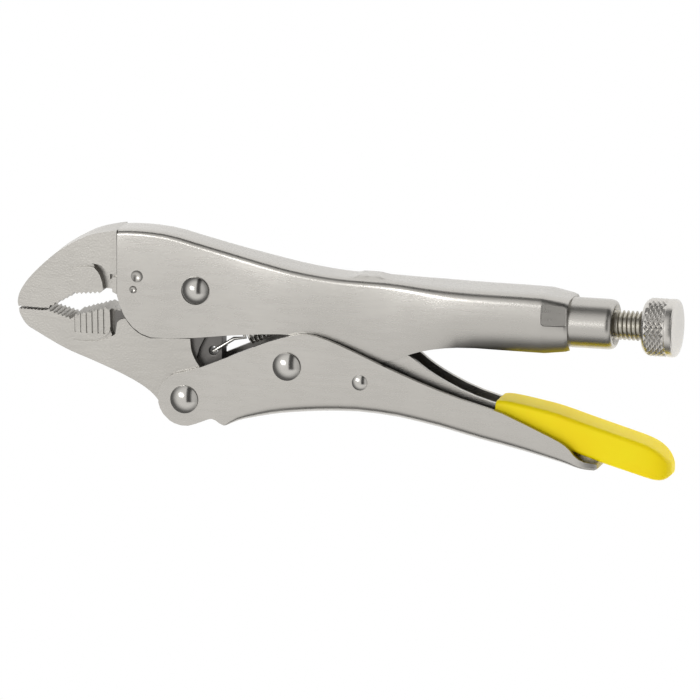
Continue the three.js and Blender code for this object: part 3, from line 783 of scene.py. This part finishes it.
def lower_jaw():
    outline = [
        *LOWER_FRONT, *arc(HANDLE_PIVOT, 7.8, 195, 388, 20),
        *smooth([(64.2, -22.6), (62.0, -19.4), (60.6, -16), (60.2, -12.2)], 4), (54, -12.45),
        *LOWER_TOP, *LOWER_MOUTH,
    ]
    piece = plate("lower_jaw_forging", outline, -JAW_HALF, JAW_HALF)
    tapered(piece)
    boss_x = at(47, 0).x

    def on_front(edge):
        return edge_middle(edge).x <= boss_x and follows(edge, LOWER_FRONT[1:])

    bevel(piece, on_front, 1.8, 6)
    bpy.ops.object.mode_set(mode="OBJECT")
    cut(piece, *reliefs(LOWER_RELIEFS))
    soften(piece, 0.22, 2, 40)
    return done(piece, "lower_jaw", ["lower_jaw"], forged_nickel)


def lower_jaw_tongue():
    """The moving jaw's inner plate with its pivot disc, and the tail with the spring's hole, both
    in a near-black finish that is painted shade for the shade between the walls round them.
    """
    disc = [
        (33.5, -4.6), (33.5, -14), (50, -19.7), (61, -22.4), (63.0, -15.5), (65.8, -10),
        (69.4, -7.7),
        *arc(JAW_PIVOT, 10.3, -23, 215, 40),
    ]
    piece = plate("lower_jaw_tongue", disc, -4.85, 4.85)
    bpy.ops.object.mode_set(mode="OBJECT")
    soften(piece, 0.3, 2, 60)
    # painted shade: the near-black finish stands in for the shade inside the shell
    done(piece, "lower_jaw", ["lower_jaw"], painted_shade_steel)
    rear_corner = smooth([(67.6, -23.4), (69.2, -22.2), (70.2, -20.0)], 3)
    tail = [(58, -7.7), (60, -23.7), *rear_corner, (70.2, -7.7)]
    piece = plate("lower_jaw_tail", tail, -2.95, 2.95)
    bpy.ops.object.mode_set(mode="OBJECT")
    hole = plate("hook_hole", arc(HOOK_TAIL, 1.5, 0, 345, 24), -8, 8)
    cut(piece, hole)
    soften(piece, 0.35, 2, 60)
    # painted shade: the near-black finish stands in for the shade between the shell and handle
    # walls
    return done(piece, "lower_jaw", ["lower_jaw"], painted_shade_steel)


lower_jaw()
lower_jaw_tongue()

# ---- lower handle -------------------------------------------------------------------------

HANDLE_SHEET = 1.6
HANDLE_TOP = [
    (55.2, -24.2), (64.4, -21.2), (79.7, -14.5), (88, -10.9), (94.2, -8.84), (100.2, -7.64),
    (106.2, -8.54), (115.5, -11.9), (125.0, -15.9), (141.5, -22.3), (153.9, -26.4),
    (167.5, -30.1), (174.5, -33.0), (187.5, -38.8), (190.5, -40.8), (192.8, -43.4),
    (195.2, -45.0), (199.6, -45.8),
]
HANDLE_BOTTOM = [
    (62, -40.9), (64.3, -40.0), (66.3, -39.1), (68, -38.6), (69.4, -39.0), (71.2, -40.2),
    (72.8, -40.6), (74.6, -39.9), (78, -38.6), (84.9, -37.0), (92, -35.6), (105.5, -34.0),
    (118.3, -33.4), (126.2, -33.8), (133, -34.5), (139.9, -35.7), (146.8, -37.0), (160.5, -40.2),
    (174.3, -43.0), (188, -46.1), (195, -47.7), (199.6, -48.2),
]
HANDLE_HALF = [(50, 8.85), (64, 8.85), (110, 9.75), (190, 9.75), (196, 9.5), (200.5, 8.4)]
HANDLE_CORNER = [(72.2, 0.02), (74, 1.0), (78, 2.2), (90, 3.3), (185, 3.1), (200, 2.4)]
EAR_RADIUS = 9.1
HANDLE_STATIONS = [
    49.75, 50.3, 51.4, 53.6, 55.2, 57.6, 60, 62.4, 65, 66.7, 68, 69.4, 70.8, 72.2, 72.8, 73.6,
    74.7, 77, 80, 84, 88, 92.1, 96, 100.2, 104, 108, 112, 118.3, 125.4, 132.5, 139, 146.7, 154,
    161, 168, 176, 184, 187.5, 189.5, 191, 192.5, 194, 196, 198, 199.2, 200.2,
]
FLOOR_START = 72.3


EAR_TOP_END = 55.2  # the ear's arc runs into the top edge here
EAR_LOW_END = 62  # and into the lower edge here
TIP_START = 199.3  # behind this the tip's last ring is drawn in
FLOOR_HALF = 8.7  # half width of the floor that is open in front


def ear_height(x):
    """Half height of the rounded ear at x, in front of the handle pivot."""
    reach = max(EAR_RADIUS**2 - (x - HANDLE_PIVOT[0]) ** 2, 0.01)
    return math.sqrt(reach)


def handle_ring(x):
    top, low = along(HANDLE_TOP, x), along(HANDLE_BOTTOM, x)
    if x < EAR_TOP_END:
        top = HANDLE_PIVOT[1] + ear_height(x)
    if x < EAR_LOW_END:
        low = HANDLE_PIVOT[1] - ear_height(x)
    if x > TIP_START:
        top, low = top - 0.3, low + 0.6
    half = along(HANDLE_HALF, x)
    radius = min(along(HANDLE_CORNER, x), (top - low) * 0.3)
    wall = top - radius - low
    side = [(top - share * wall, half) for share in (0, 0.35, 0.7, 1)]
    corner = [
        (low + radius - radius * math.sin(a), half - radius + radius * math.cos(a))
        for a in spread(0, math.pi / 2, 6)[1:]
    ]
    floor = [(low, (half - radius) * share) for share in (0.7, 0.25)]
    near = [*side, *corner, *floor]
    return [at(x, y, z) for y, z in near] + [at(x, y, -z) for y, z in reversed(near)]


def lower_handle():
    piece = loft("lower_handle_channel", [handle_ring(x) for x in HANDLE_STATIONS])
    sheet_faces_out(piece)
    front = at(FLOOR_START, 0).x

    def is_front_floor(face):
        centre = face.calc_center_median()
        return centre.x < front and abs(centre.z - AXIS_Z) < FLOOR_HALF * MM

    pick(piece, "FACE", is_front_floor)
    bpy.ops.mesh.delete(type="FACE")
    bpy.ops.object.mode_set(mode="OBJECT")
    thicken(piece, HANDLE_SHEET)
    soften(piece, 0.5, 3, 50)
    return done(piece, "lower_handle", ["lower_handle"], satin_nickel)


lower_handle()

# ---- release lever and its grip -----------------------------------------------------------

LEVER_SHEET = 1.5
LEVER_TOP = [
    (113.2, -20.5), (116, -18.2), (119.5, -16.9), (123.5, -15.9), (129, -13.6), (133, -13.0),
    (136, -14.1), (138, -15.7), (140, -17.2), (142.4, -18.8), (146.3, -21.0), (149.7, -22.7),
    (153, -24.2), (156.6, -25.6), (160, -26.7), (163.6, -27.7), (174.2, -29.2), (184.7, -31.3),
    (200.5, -35.8), (214.3, -39.8), (220, -43),
]
LEVER_BOTTOM = [
    (113.2, -24.5), (115, -27.6), (119.3, -29), (131, -29.9), (143.6, -31.2), (159.4, -33.4),
    (174.2, -36.2), (186.8, -39.8), (200.5, -44.0), (214.3, -48.0), (220, -48.6),
]
LEVER_STATIONS = [
    113.2, 114, 115.5, 117.5, 120, 123.5, 127, 130, 133, 135, 137, 139, 141.5, 144.5, 148, 152.5,
    158, 163.6, 169, 174.2, 184.7, 192, 200.5, 208, 214.3, 218,
]
LEVER_HALF = 5.6
LEVER_CORNER = 1.9


def lever_ring(x):
    top, low = along(LEVER_TOP, x), along(LEVER_BOTTOM, x)
    radius = min(LEVER_CORNER, (top - low) * 0.35)
    flat = LEVER_HALF - radius
    wall = top - radius - low
    side = [(top - share * wall, LEVER_HALF) for share in (0, 0.05, 0.5, 0.95, 1)]
    corner = [
        (low + radius - radius * math.sin(a), flat + radius * math.cos(a))
        for a in spread(0, math.pi / 2, 5)[1:]
    ]
    near = [*side, *corner, (low, flat * 0.4)]
    return [at(x, y, z) for y, z in near] + [at(x, y, -z) for y, z in reversed(near)]


def release_lever():
    piece = loft("release_lever_channel", [lever_ring(x) for x in LEVER_STATIONS])
    sheet_faces_out(piece)
    bpy.ops.object.mode_set(mode="OBJECT")
    thicken(piece, LEVER_SHEET)
    soften(piece, 0.25, 2, 50)
    return done(piece, "release_lever", ["release_lever"], satin_nickel)


release_lever()

GRIP_TOP = [
    (164.5, -26.9), (167.3, -26.7), (170.1, -27.0), (177.0, -28.2), (183.8, -29.3),
    (190.7, -31.4), (197.6, -33.4), (204.5, -35.4), (211.3, -37.3), (214.8, -38.3),
    (218.2, -39.7), (220.5, -41.2), (222.8, -43.4), (224.3, -45.6),
]
GRIP_BOTTOM = [
    (164.5, -36.2), (173.7, -38.2), (186.4, -41.3), (200.1, -45.7), (204.6, -47.0),
    (208.0, -47.8), (214.9, -49.8), (218.3, -50.8), (220.6, -51.1), (222.8, -50.6),
    (224.3, -49.2),
]
GRIP_HALF = [
    (164.5, 6.75), (172, 6.9), (200, 6.9), (214, 6.8), (219, 6.4), (222.5, 5.2), (224.3, 2.6),
]
GRIP_STATIONS = [
    164.5, 164.8, 165.6, 168, 172, 178, 185, 192, 200, 206, 212, 216, 219, 221.2, 222.8, 223.8,
    224.3,
]
GRIP_SLANT = 0.8


def grip_ring(x):
    """The grip's rounded section at x. Its front rings lean back towards the top edge."""
    top, low, half = along(GRIP_TOP, x), along(GRIP_BOTTOM, x), along(GRIP_HALF, x)
    if x in GRIP_STATIONS[:2]:
        inset = 0.5 if x == GRIP_STATIONS[0] else 0.15
        top, low, half = top - inset, low + inset, half - inset
    radius = min(1.7, (top - low) * 0.35, half * 0.6)
    corners = [
        (top - radius, half - radius, 0), (top - radius, radius - half, 90),
        (low + radius, radius - half, 180), (low + radius, half - radius, 270),
    ]
    lean = max(0, 1 - (x - GRIP_STATIONS[0]) / 22)
    ring = []
    for number, (y, z, start) in enumerate(corners):
        for a in spread(start, start + 90, 6):
            turn = math.radians(a)
            ring.append((y + radius * math.sin(turn), z + radius * math.cos(turn)))
        if number in (1, 3):
            ring.append(((top + low) / 2, (-half if number == 1 else half) * 1.012))
    middle = (top + low) / 2
    return [at(x + GRIP_SLANT * lean * (y - middle) / 5.5 * 0.5, y, z) for y, z in ring]


def lever_grip():
    rings = [grip_ring(x) for x in GRIP_STATIONS]
    piece = loft("lever_grip_sleeve", rings, closed=True)
    close_ends(piece, rings)
    right_way_out()
    bpy.ops.object.mode_set(mode="OBJECT")
    modify(piece, "SUBSURF", levels=2, render_levels=2)
    return done(piece, "release_lever", ["lever_grip"], yellow_vinyl, 60)


lever_grip()

# ---- toggle link --------------------------------------------------------------------------

LINK_PIVOT = (94.2, -18.944)
LINK_END = (143.809, 0.0)
TOGGLE_ANGLE = 20.9
LINK_EYE_RADIUS, LINK_END_RADIUS = 7, 4.6
LINK_HALF = 4.8
WAIST = [(101, -12), (130, -1.2), (133, -8.4), (104, -19.6)]
WAIST_FLOOR = 3.6


def toggle_link():
    outline = [
        *arc(LINK_PIVOT, LINK_EYE_RADIUS, TOGGLE_ANGLE + 92, TOGGLE_ANGLE + 268, 22),
        *arc(LINK_END, LINK_END_RADIUS, TOGGLE_ANGLE - 88, TOGGLE_ANGLE + 88, 18),
    ]
    piece = plate("toggle_link_bar", outline, -LINK_HALF, LINK_HALF)
    bpy.ops.object.mode_set(mode="OBJECT")
    cut(
        piece,
        plate("waist_near", WAIST, WAIST_FLOOR, 6),
        plate("waist_far", WAIST, -6, -WAIST_FLOOR),
    )
    soften(piece, 0.5, 3, 50)
    return done(piece, "toggle_link", ["toggle_link"], satin_nickel)


toggle_link()

# ---- rivets -------------------------------------------------------------------------------


def rivet(name, body, pivot, shank, head, height, under):
    """A rivet with a domed head on each side and a pressed ring under each head."""
    steps = 10
    rim = 0.22 * height
    cap = height - rim
    ball = (head**2 + cap**2) / (2 * cap)
    reach = math.asin(head / ball)
    dome = [
        (ball * math.sin(a), under + rim + cap - ball * (1 - math.cos(a)))
        for a in spread(0, reach, steps)
    ]
    upper = [*dome, (head, under + 0.1), (head - 0.1, under + 0.02), (shank, under + 0.02)]
    profile = [*upper, *((radius, -z) for radius, z in reversed(upper))]
    profile[0] = (0, profile[0][1])
    profile[-1] = (0, profile[-1][1])
    points = [at(pivot[0] + radius, pivot[1], z) for radius, z in profile]
    piece = spun(name + "_domed", points, at(*pivot), (0, 0, 1), 64)
    bpy.ops.object.mode_set(mode="OBJECT")
    return done(piece, body, [name], bright_nickel)


LEVER_PIVOT = (119.3, -22.844)
# name, body, pivot, shank radius, head radius, head height, and the wall's face under the head
RIVETS = [
    ("jaw_pivot_rivet", "root", JAW_PIVOT, 3, 4.7, 2.4, 6.85),
    ("handle_pivot_rivet", "lower_handle", HANDLE_PIVOT, 3, 4.7, 1.9, 8.9),
    ("link_rivet", "lower_handle", LINK_PIVOT, 3, 4.7, 1.9, 9.8),
    ("lever_rivet", "lower_handle", LEVER_PIVOT, 1.8, 2.6, 0.9, 9.8),
]

for entry in RIVETS:
    rivet(*entry)

# ---- bush, screw and knob -----------------------------------------------------------------

BUSH_FRONT, BUSH_REAR = 172, 204.6
BUSH_RADIUS = 8.4
SCREW_RADIUS = 4.95
THREAD_PITCH = 1.5
THREAD_DEPTH = 0.9
KNOB_FRONT, KNOB_REAR = 214.8, 226.3
KNOB_RADIUS = 9.75
KNURL_AROUND = 50  # points round the knob; every other one is a peak
KNURL_ROWS = 9
KNURL_DEPTH = 0.5


def end_bush():
    bore = SCREW_RADIUS + 0.05
    profile = [
        (BUSH_FRONT, bore),
        (BUSH_FRONT, BUSH_RADIUS),
        (BUSH_REAR - 2.2, BUSH_RADIUS),
        (BUSH_REAR - 0.9, BUSH_RADIUS - 0.25),
        (BUSH_REAR - 0.25, BUSH_RADIUS - 0.7),
        (BUSH_REAR, BUSH_RADIUS - 1.3),
        (BUSH_REAR, bore + 1.9),
        (BUSH_REAR - 0.9, bore + 0.8),
        (BUSH_REAR - 2.6, bore),
        (BUSH_FRONT, bore),
    ]
    piece = turned("end_bush_turned", profile)
    bpy.ops.object.mode_set(mode="OBJECT")
    return done(piece, "root", ["end_bush"], satin_nickel)


def adjusting_screw():
    """One turn of thread swept along the screw, trimmed at both ends."""
    start, end = 150.8, 223.7
    root = SCREW_RADIUS - THREAD_DEPTH
    flanks = [
        (0, root), (0.3, root), (0.66, SCREW_RADIUS), (0.84, SCREW_RADIUS), (1.2, root),
        (THREAD_PITCH, root),
    ]
    turns = math.ceil((end - start) / THREAD_PITCH) + 2
    points = [at(start - THREAD_PITCH + x, radius) for x, radius in flanks]
    piece = chain("adjusting_screw_thread", points)
    bpy.ops.object.mode_set(mode="OBJECT")
    axis = bpy.data.objects.new("screw_axis", None)
    bpy.context.scene.collection.objects.link(axis)
    axis.location = at(0, 0)
    bpy.context.view_layer.update()
    modify(
        piece,
        "SCREW",
        object=axis,
        axis="X",
        angle=2 * math.pi,
        screw_offset=THREAD_PITCH * MM,
        iterations=turns,
        steps=36,
        render_steps=36,
        use_merge_vertices=True,
        merge_threshold=0.005 * MM,
    )
    bpy.data.objects.remove(axis)
    edit(piece)
    for place, way in ((start + 0.05, -1), (end, 1)):
        bpy.ops.mesh.select_all(action="SELECT")
        bpy.ops.mesh.bisect(plane_co=at(place, 0), plane_no=(way, 0, 0), clear_outer=True)
        bpy.ops.mesh.select_all(action="SELECT")
        bpy.ops.mesh.remove_doubles(threshold=0.02 * MM)
        pick(piece, "EDGE", lambda edge: len(edge.link_faces) == 1)
        bpy.ops.mesh.edge_face_add()
    right_way_out()
    bpy.ops.object.mode_set(mode="OBJECT")
    return done(piece, "adjusting_screw", ["adjusting_screw"], thread_steel, 25)


def adjusting_knob():
    """The screw's head: a diamond knurl between a chamfer and a smooth rear band."""
    around = KNURL_AROUND
    rows = KNURL_ROWS
    knurl_start, knurl_end = KNOB_FRONT + 1.1, KNOB_FRONT + 7.9
    knurl = [(x, KNOB_RADIUS - KNURL_DEPTH) for x in spread(knurl_start, knurl_end, rows)]
    profile = [
        (KNOB_FRONT, 0),
        (KNOB_FRONT, 8.3),
        (KNOB_FRONT + 0.5, 8.9),
        *knurl,
        (knurl_end + 0.15, KNOB_RADIUS - 0.15),
        (knurl_end + 0.3, KNOB_RADIUS - 0.05),
        (KNOB_REAR - 1.7, KNOB_RADIUS - 0.05),
        (KNOB_REAR - 1.2, KNOB_RADIUS - 0.2),
        (KNOB_REAR - 0.75, KNOB_RADIUS - 0.7),
        (KNOB_REAR - 0.4, 7.6),
        (KNOB_REAR - 0.12, 5.2),
        (KNOB_REAR, 2.4),
        (KNOB_REAR, 0),
    ]
    piece = turned("adjusting_knob_knurled", profile, around)
    low, high = at(knurl_start, 0).x, at(knurl_end, 0).x
    pitch = (high - low) / (rows - 1)

    def cell(vertex):
        row = (vertex.co.x - low) / pitch
        turn = math.atan2(vertex.co.z - AXIS_Z, vertex.co.y - AXIS_Y) / (2 * math.pi) * around
        return round(row), round(turn), abs(row - round(row)) < 0.05 and -0.1 < row < rows - 0.9

    def low_point(vertex):
        row, turn, banded = cell(vertex)
        return banded and (row + turn) % 2 == 1

    def high_point(vertex):
        row, turn, banded = cell(vertex)
        return banded and (row + turn) % 2 == 0 and 0 < row < rows - 1

    pick(piece, "VERT", low_point)
    bpy.ops.mesh.vert_connect()
    pick(piece, "VERT", high_point)
    bpy.ops.transform.shrink_fatten(value=KNURL_DEPTH * MM)
    bpy.ops.object.mode_set(mode="OBJECT")
    return done(
        piece, "adjusting_knob", ["adjusting_knob"], knob_nickel, 22, flat=False
    )


end_bush()
adjusting_screw()
adjusting_knob()

# ---- spring -------------------------------------------------------------------------------

HOOK_LUG = (117.2, 6.6)
SPRING_WIRE = 0.6  # radius


def jaw_spring():
    """A pull spring with a hook at each end, from the jaw's tail to the lug in the shell."""
    span = math.dist(HOOK_TAIL, HOOK_LUG)
    ux, uy = (HOOK_LUG[0] - HOOK_TAIL[0]) / span, (HOOK_LUG[1] - HOOK_TAIL[1]) / span

    def place(far, across, z):
        return at(HOOK_TAIL[0] + ux * far - uy * across, HOOK_TAIL[1] + uy * far + ux * across, z)

    lie = 3.85  # the hook's legs from the tool's middle, beside the tail
    coil_start, coil_end = 12.0, span - 10.0
    radius, turns, turn_steps = 2.6, 22, 20
    tail = smooth(
        [
            (3.0, -0.6, -lie), (0.6, 0, -lie), (0, 0, -lie + 0.8), (0, 0, lie - 0.8),
            (0.8, 0.1, lie), (3.6, 0.5, lie), (8.5, 1.2, 3.2),
        ],
        5,
    )
    coils = [
        (
            coil_start + (coil_end - coil_start) * i / (turns * turn_steps),
            radius * math.sin(2 * math.pi * i / turn_steps),
            radius * math.cos(2 * math.pi * i / turn_steps),
        )
        for i in range(turns * turn_steps + 1)
    ]
    lug = smooth(
        [
            (span - 6, 0, 2.2), (span - 2.6, 0, 1.75), (span - 0.6, 0, 1.65), (span, 0, 1.0),
            (span, 0, -1.0), (span - 0.6, 0, -1.65), (span - 2.6, 0, -1.7),
        ],
        5,
    )
    points = [place(*p) for p in [*tail, *coils, *lug]]
    piece = wire("jaw_spring_wire", points, SPRING_WIRE)
    piece.name = piece.data.name = "jaw_spring_wire"
    done(piece, None, ["jaw_spring"], spring_steel, 60)
    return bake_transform(piece)


jaw_spring()

# ---- floor, light and camera --------------------------------------------------------------


def floor():
    """Pale paper that glows as painted light, strongest round the tool and fading far away, for the
    metal to reflect; an even white where the camera sees it.
    """
    nothing_selected()
    bpy.ops.mesh.primitive_plane_add(size=60.0, location=(0, 0, 0))
    piece = bpy.context.object
    piece.name = "studio_floor"
    made, tree, shader = material("studio_floor")
    shader.inputs["Base Color"].default_value = (0.8, 0.8, 0.8, 1)
    shader.inputs["Roughness"].default_value = 1.0
    shader.inputs["Specular IOR Level"].default_value = 0.0
    shader.inputs["Emission Color"].default_value = (1, 1, 1, 1)
    place = node(tree, "TexCoord").outputs["Object"]
    away = node(tree, "VectorMath", {0: place}, operation="LENGTH")
    # painted light: the floor's glow, strong near the tool and weak far away
    fall = step_mask(tree, away.outputs["Value"], 0.15, 0.9, 0.72, 0.14)
    tree.links.new(fall, shader.inputs["Emission Strength"])
    lit = node(tree, "Emission", {"Color": (1, 1, 1, 1), "Strength": 1.0})
    seen = node(tree, "LightPath")
    mix = node(
        tree,
        "MixShader",
        {0: seen.outputs["Is Camera Ray"], 1: shader.outputs[0], 2: lit.outputs[0]},
    )
    tree.links.new(mix.outputs[0], tree.nodes["Material Output"].inputs[0])
    piece.data.materials.append(made)


def softbox(name, place, width, height, strength):
    """A round light aimed at the tool."""
    data = bpy.data.lights.new(name, "AREA")
    data.shape = "ELLIPSE"
    data.size, data.size_y = width, height
    data.energy = strength * width * height * math.pi
    lamp = bpy.data.objects.new(name, data)
    bpy.context.scene.collection.objects.link(lamp)
    lamp.location = place
    lamp.rotation_mode = "QUATERNION"
    lamp.rotation_quaternion = (Vector(place) - CENTRE).to_track_quat("Z", "Y")


CENTRE = at(113.4, -14.3)


def camera():
    side, lift = math.radians(15), math.radians(13.5)
    way = Vector(
        (math.sin(side) * math.cos(lift), math.sin(lift), math.cos(side) * math.cos(lift))
    )
    data = bpy.data.cameras.new("camera")
    data.lens = 1000
    data.sensor_width = 36
    view_width = 0.2324
    body = bpy.data.objects.new("camera", data)
    bpy.context.scene.collection.objects.link(body)
    distance = view_width * data.lens / data.sensor_width
    body.location = CENTRE + way * distance
    right = Vector((math.cos(side), 0, -math.sin(side)))
    up = way.cross(right)
    turn = Matrix((right, up, way)).transposed()
    body.rotation_mode = "QUATERNION"
    body.rotation_quaternion = turn.to_quaternion()
    data.clip_start, data.clip_end = 1, 40
    bpy.context.scene.camera = body


def room_light(tree):
    """Bright overhead, dim along the horizon, with a dark card beside the camera."""
    way = node(tree, "SeparateXYZ", {0: node(tree, "TexCoord").outputs["Generated"]})
    lift = step_mask(tree, way.outputs["Z"], 0.3, 0.8, 0.19, 1.22)
    card_left = step_mask(tree, way.outputs["X"], -0.02, 0.08)
    card_right = step_mask(tree, way.outputs["X"], 0.32, 0.5, 1.0, 0.25)
    card_low = step_mask(tree, way.outputs["Y"], -0.42, -0.3)
    card = maths(tree, "MULTIPLY", maths(tree, "MULTIPLY", card_left, card_right), card_low)
    open_share = maths(tree, "MULTIPLY_ADD", card, -0.9, 1.0)
    return maths(tree, "MULTIPLY", lift, open_share)


def studio():
    world = bpy.data.worlds.new("studio")
    world.use_nodes = True
    tree = world.node_tree
    room = tree.nodes["Background"]
    room.inputs["Color"].default_value = (1, 0.99, 0.975, 1)
    tree.links.new(room_light(tree), room.inputs["Strength"])
    backdrop = node(tree, "Background", {"Color": (1, 1, 1, 1)})
    seen = node(tree, "LightPath")
    mix = node(
        tree,
        "MixShader",
        {0: seen.outputs["Is Camera Ray"], 1: room.outputs[0], 2: backdrop.outputs[0]},
    )
    tree.links.new(mix.outputs[0], tree.nodes["World Output"].inputs[0])
    bpy.context.scene.world = world
    softbox("key", (-0.5, 0.2, 1.05), 0.3, 0.44, 6.5)
    bpy.context.scene.view_settings.view_transform = "Standard"


floor()
studio()
camera()
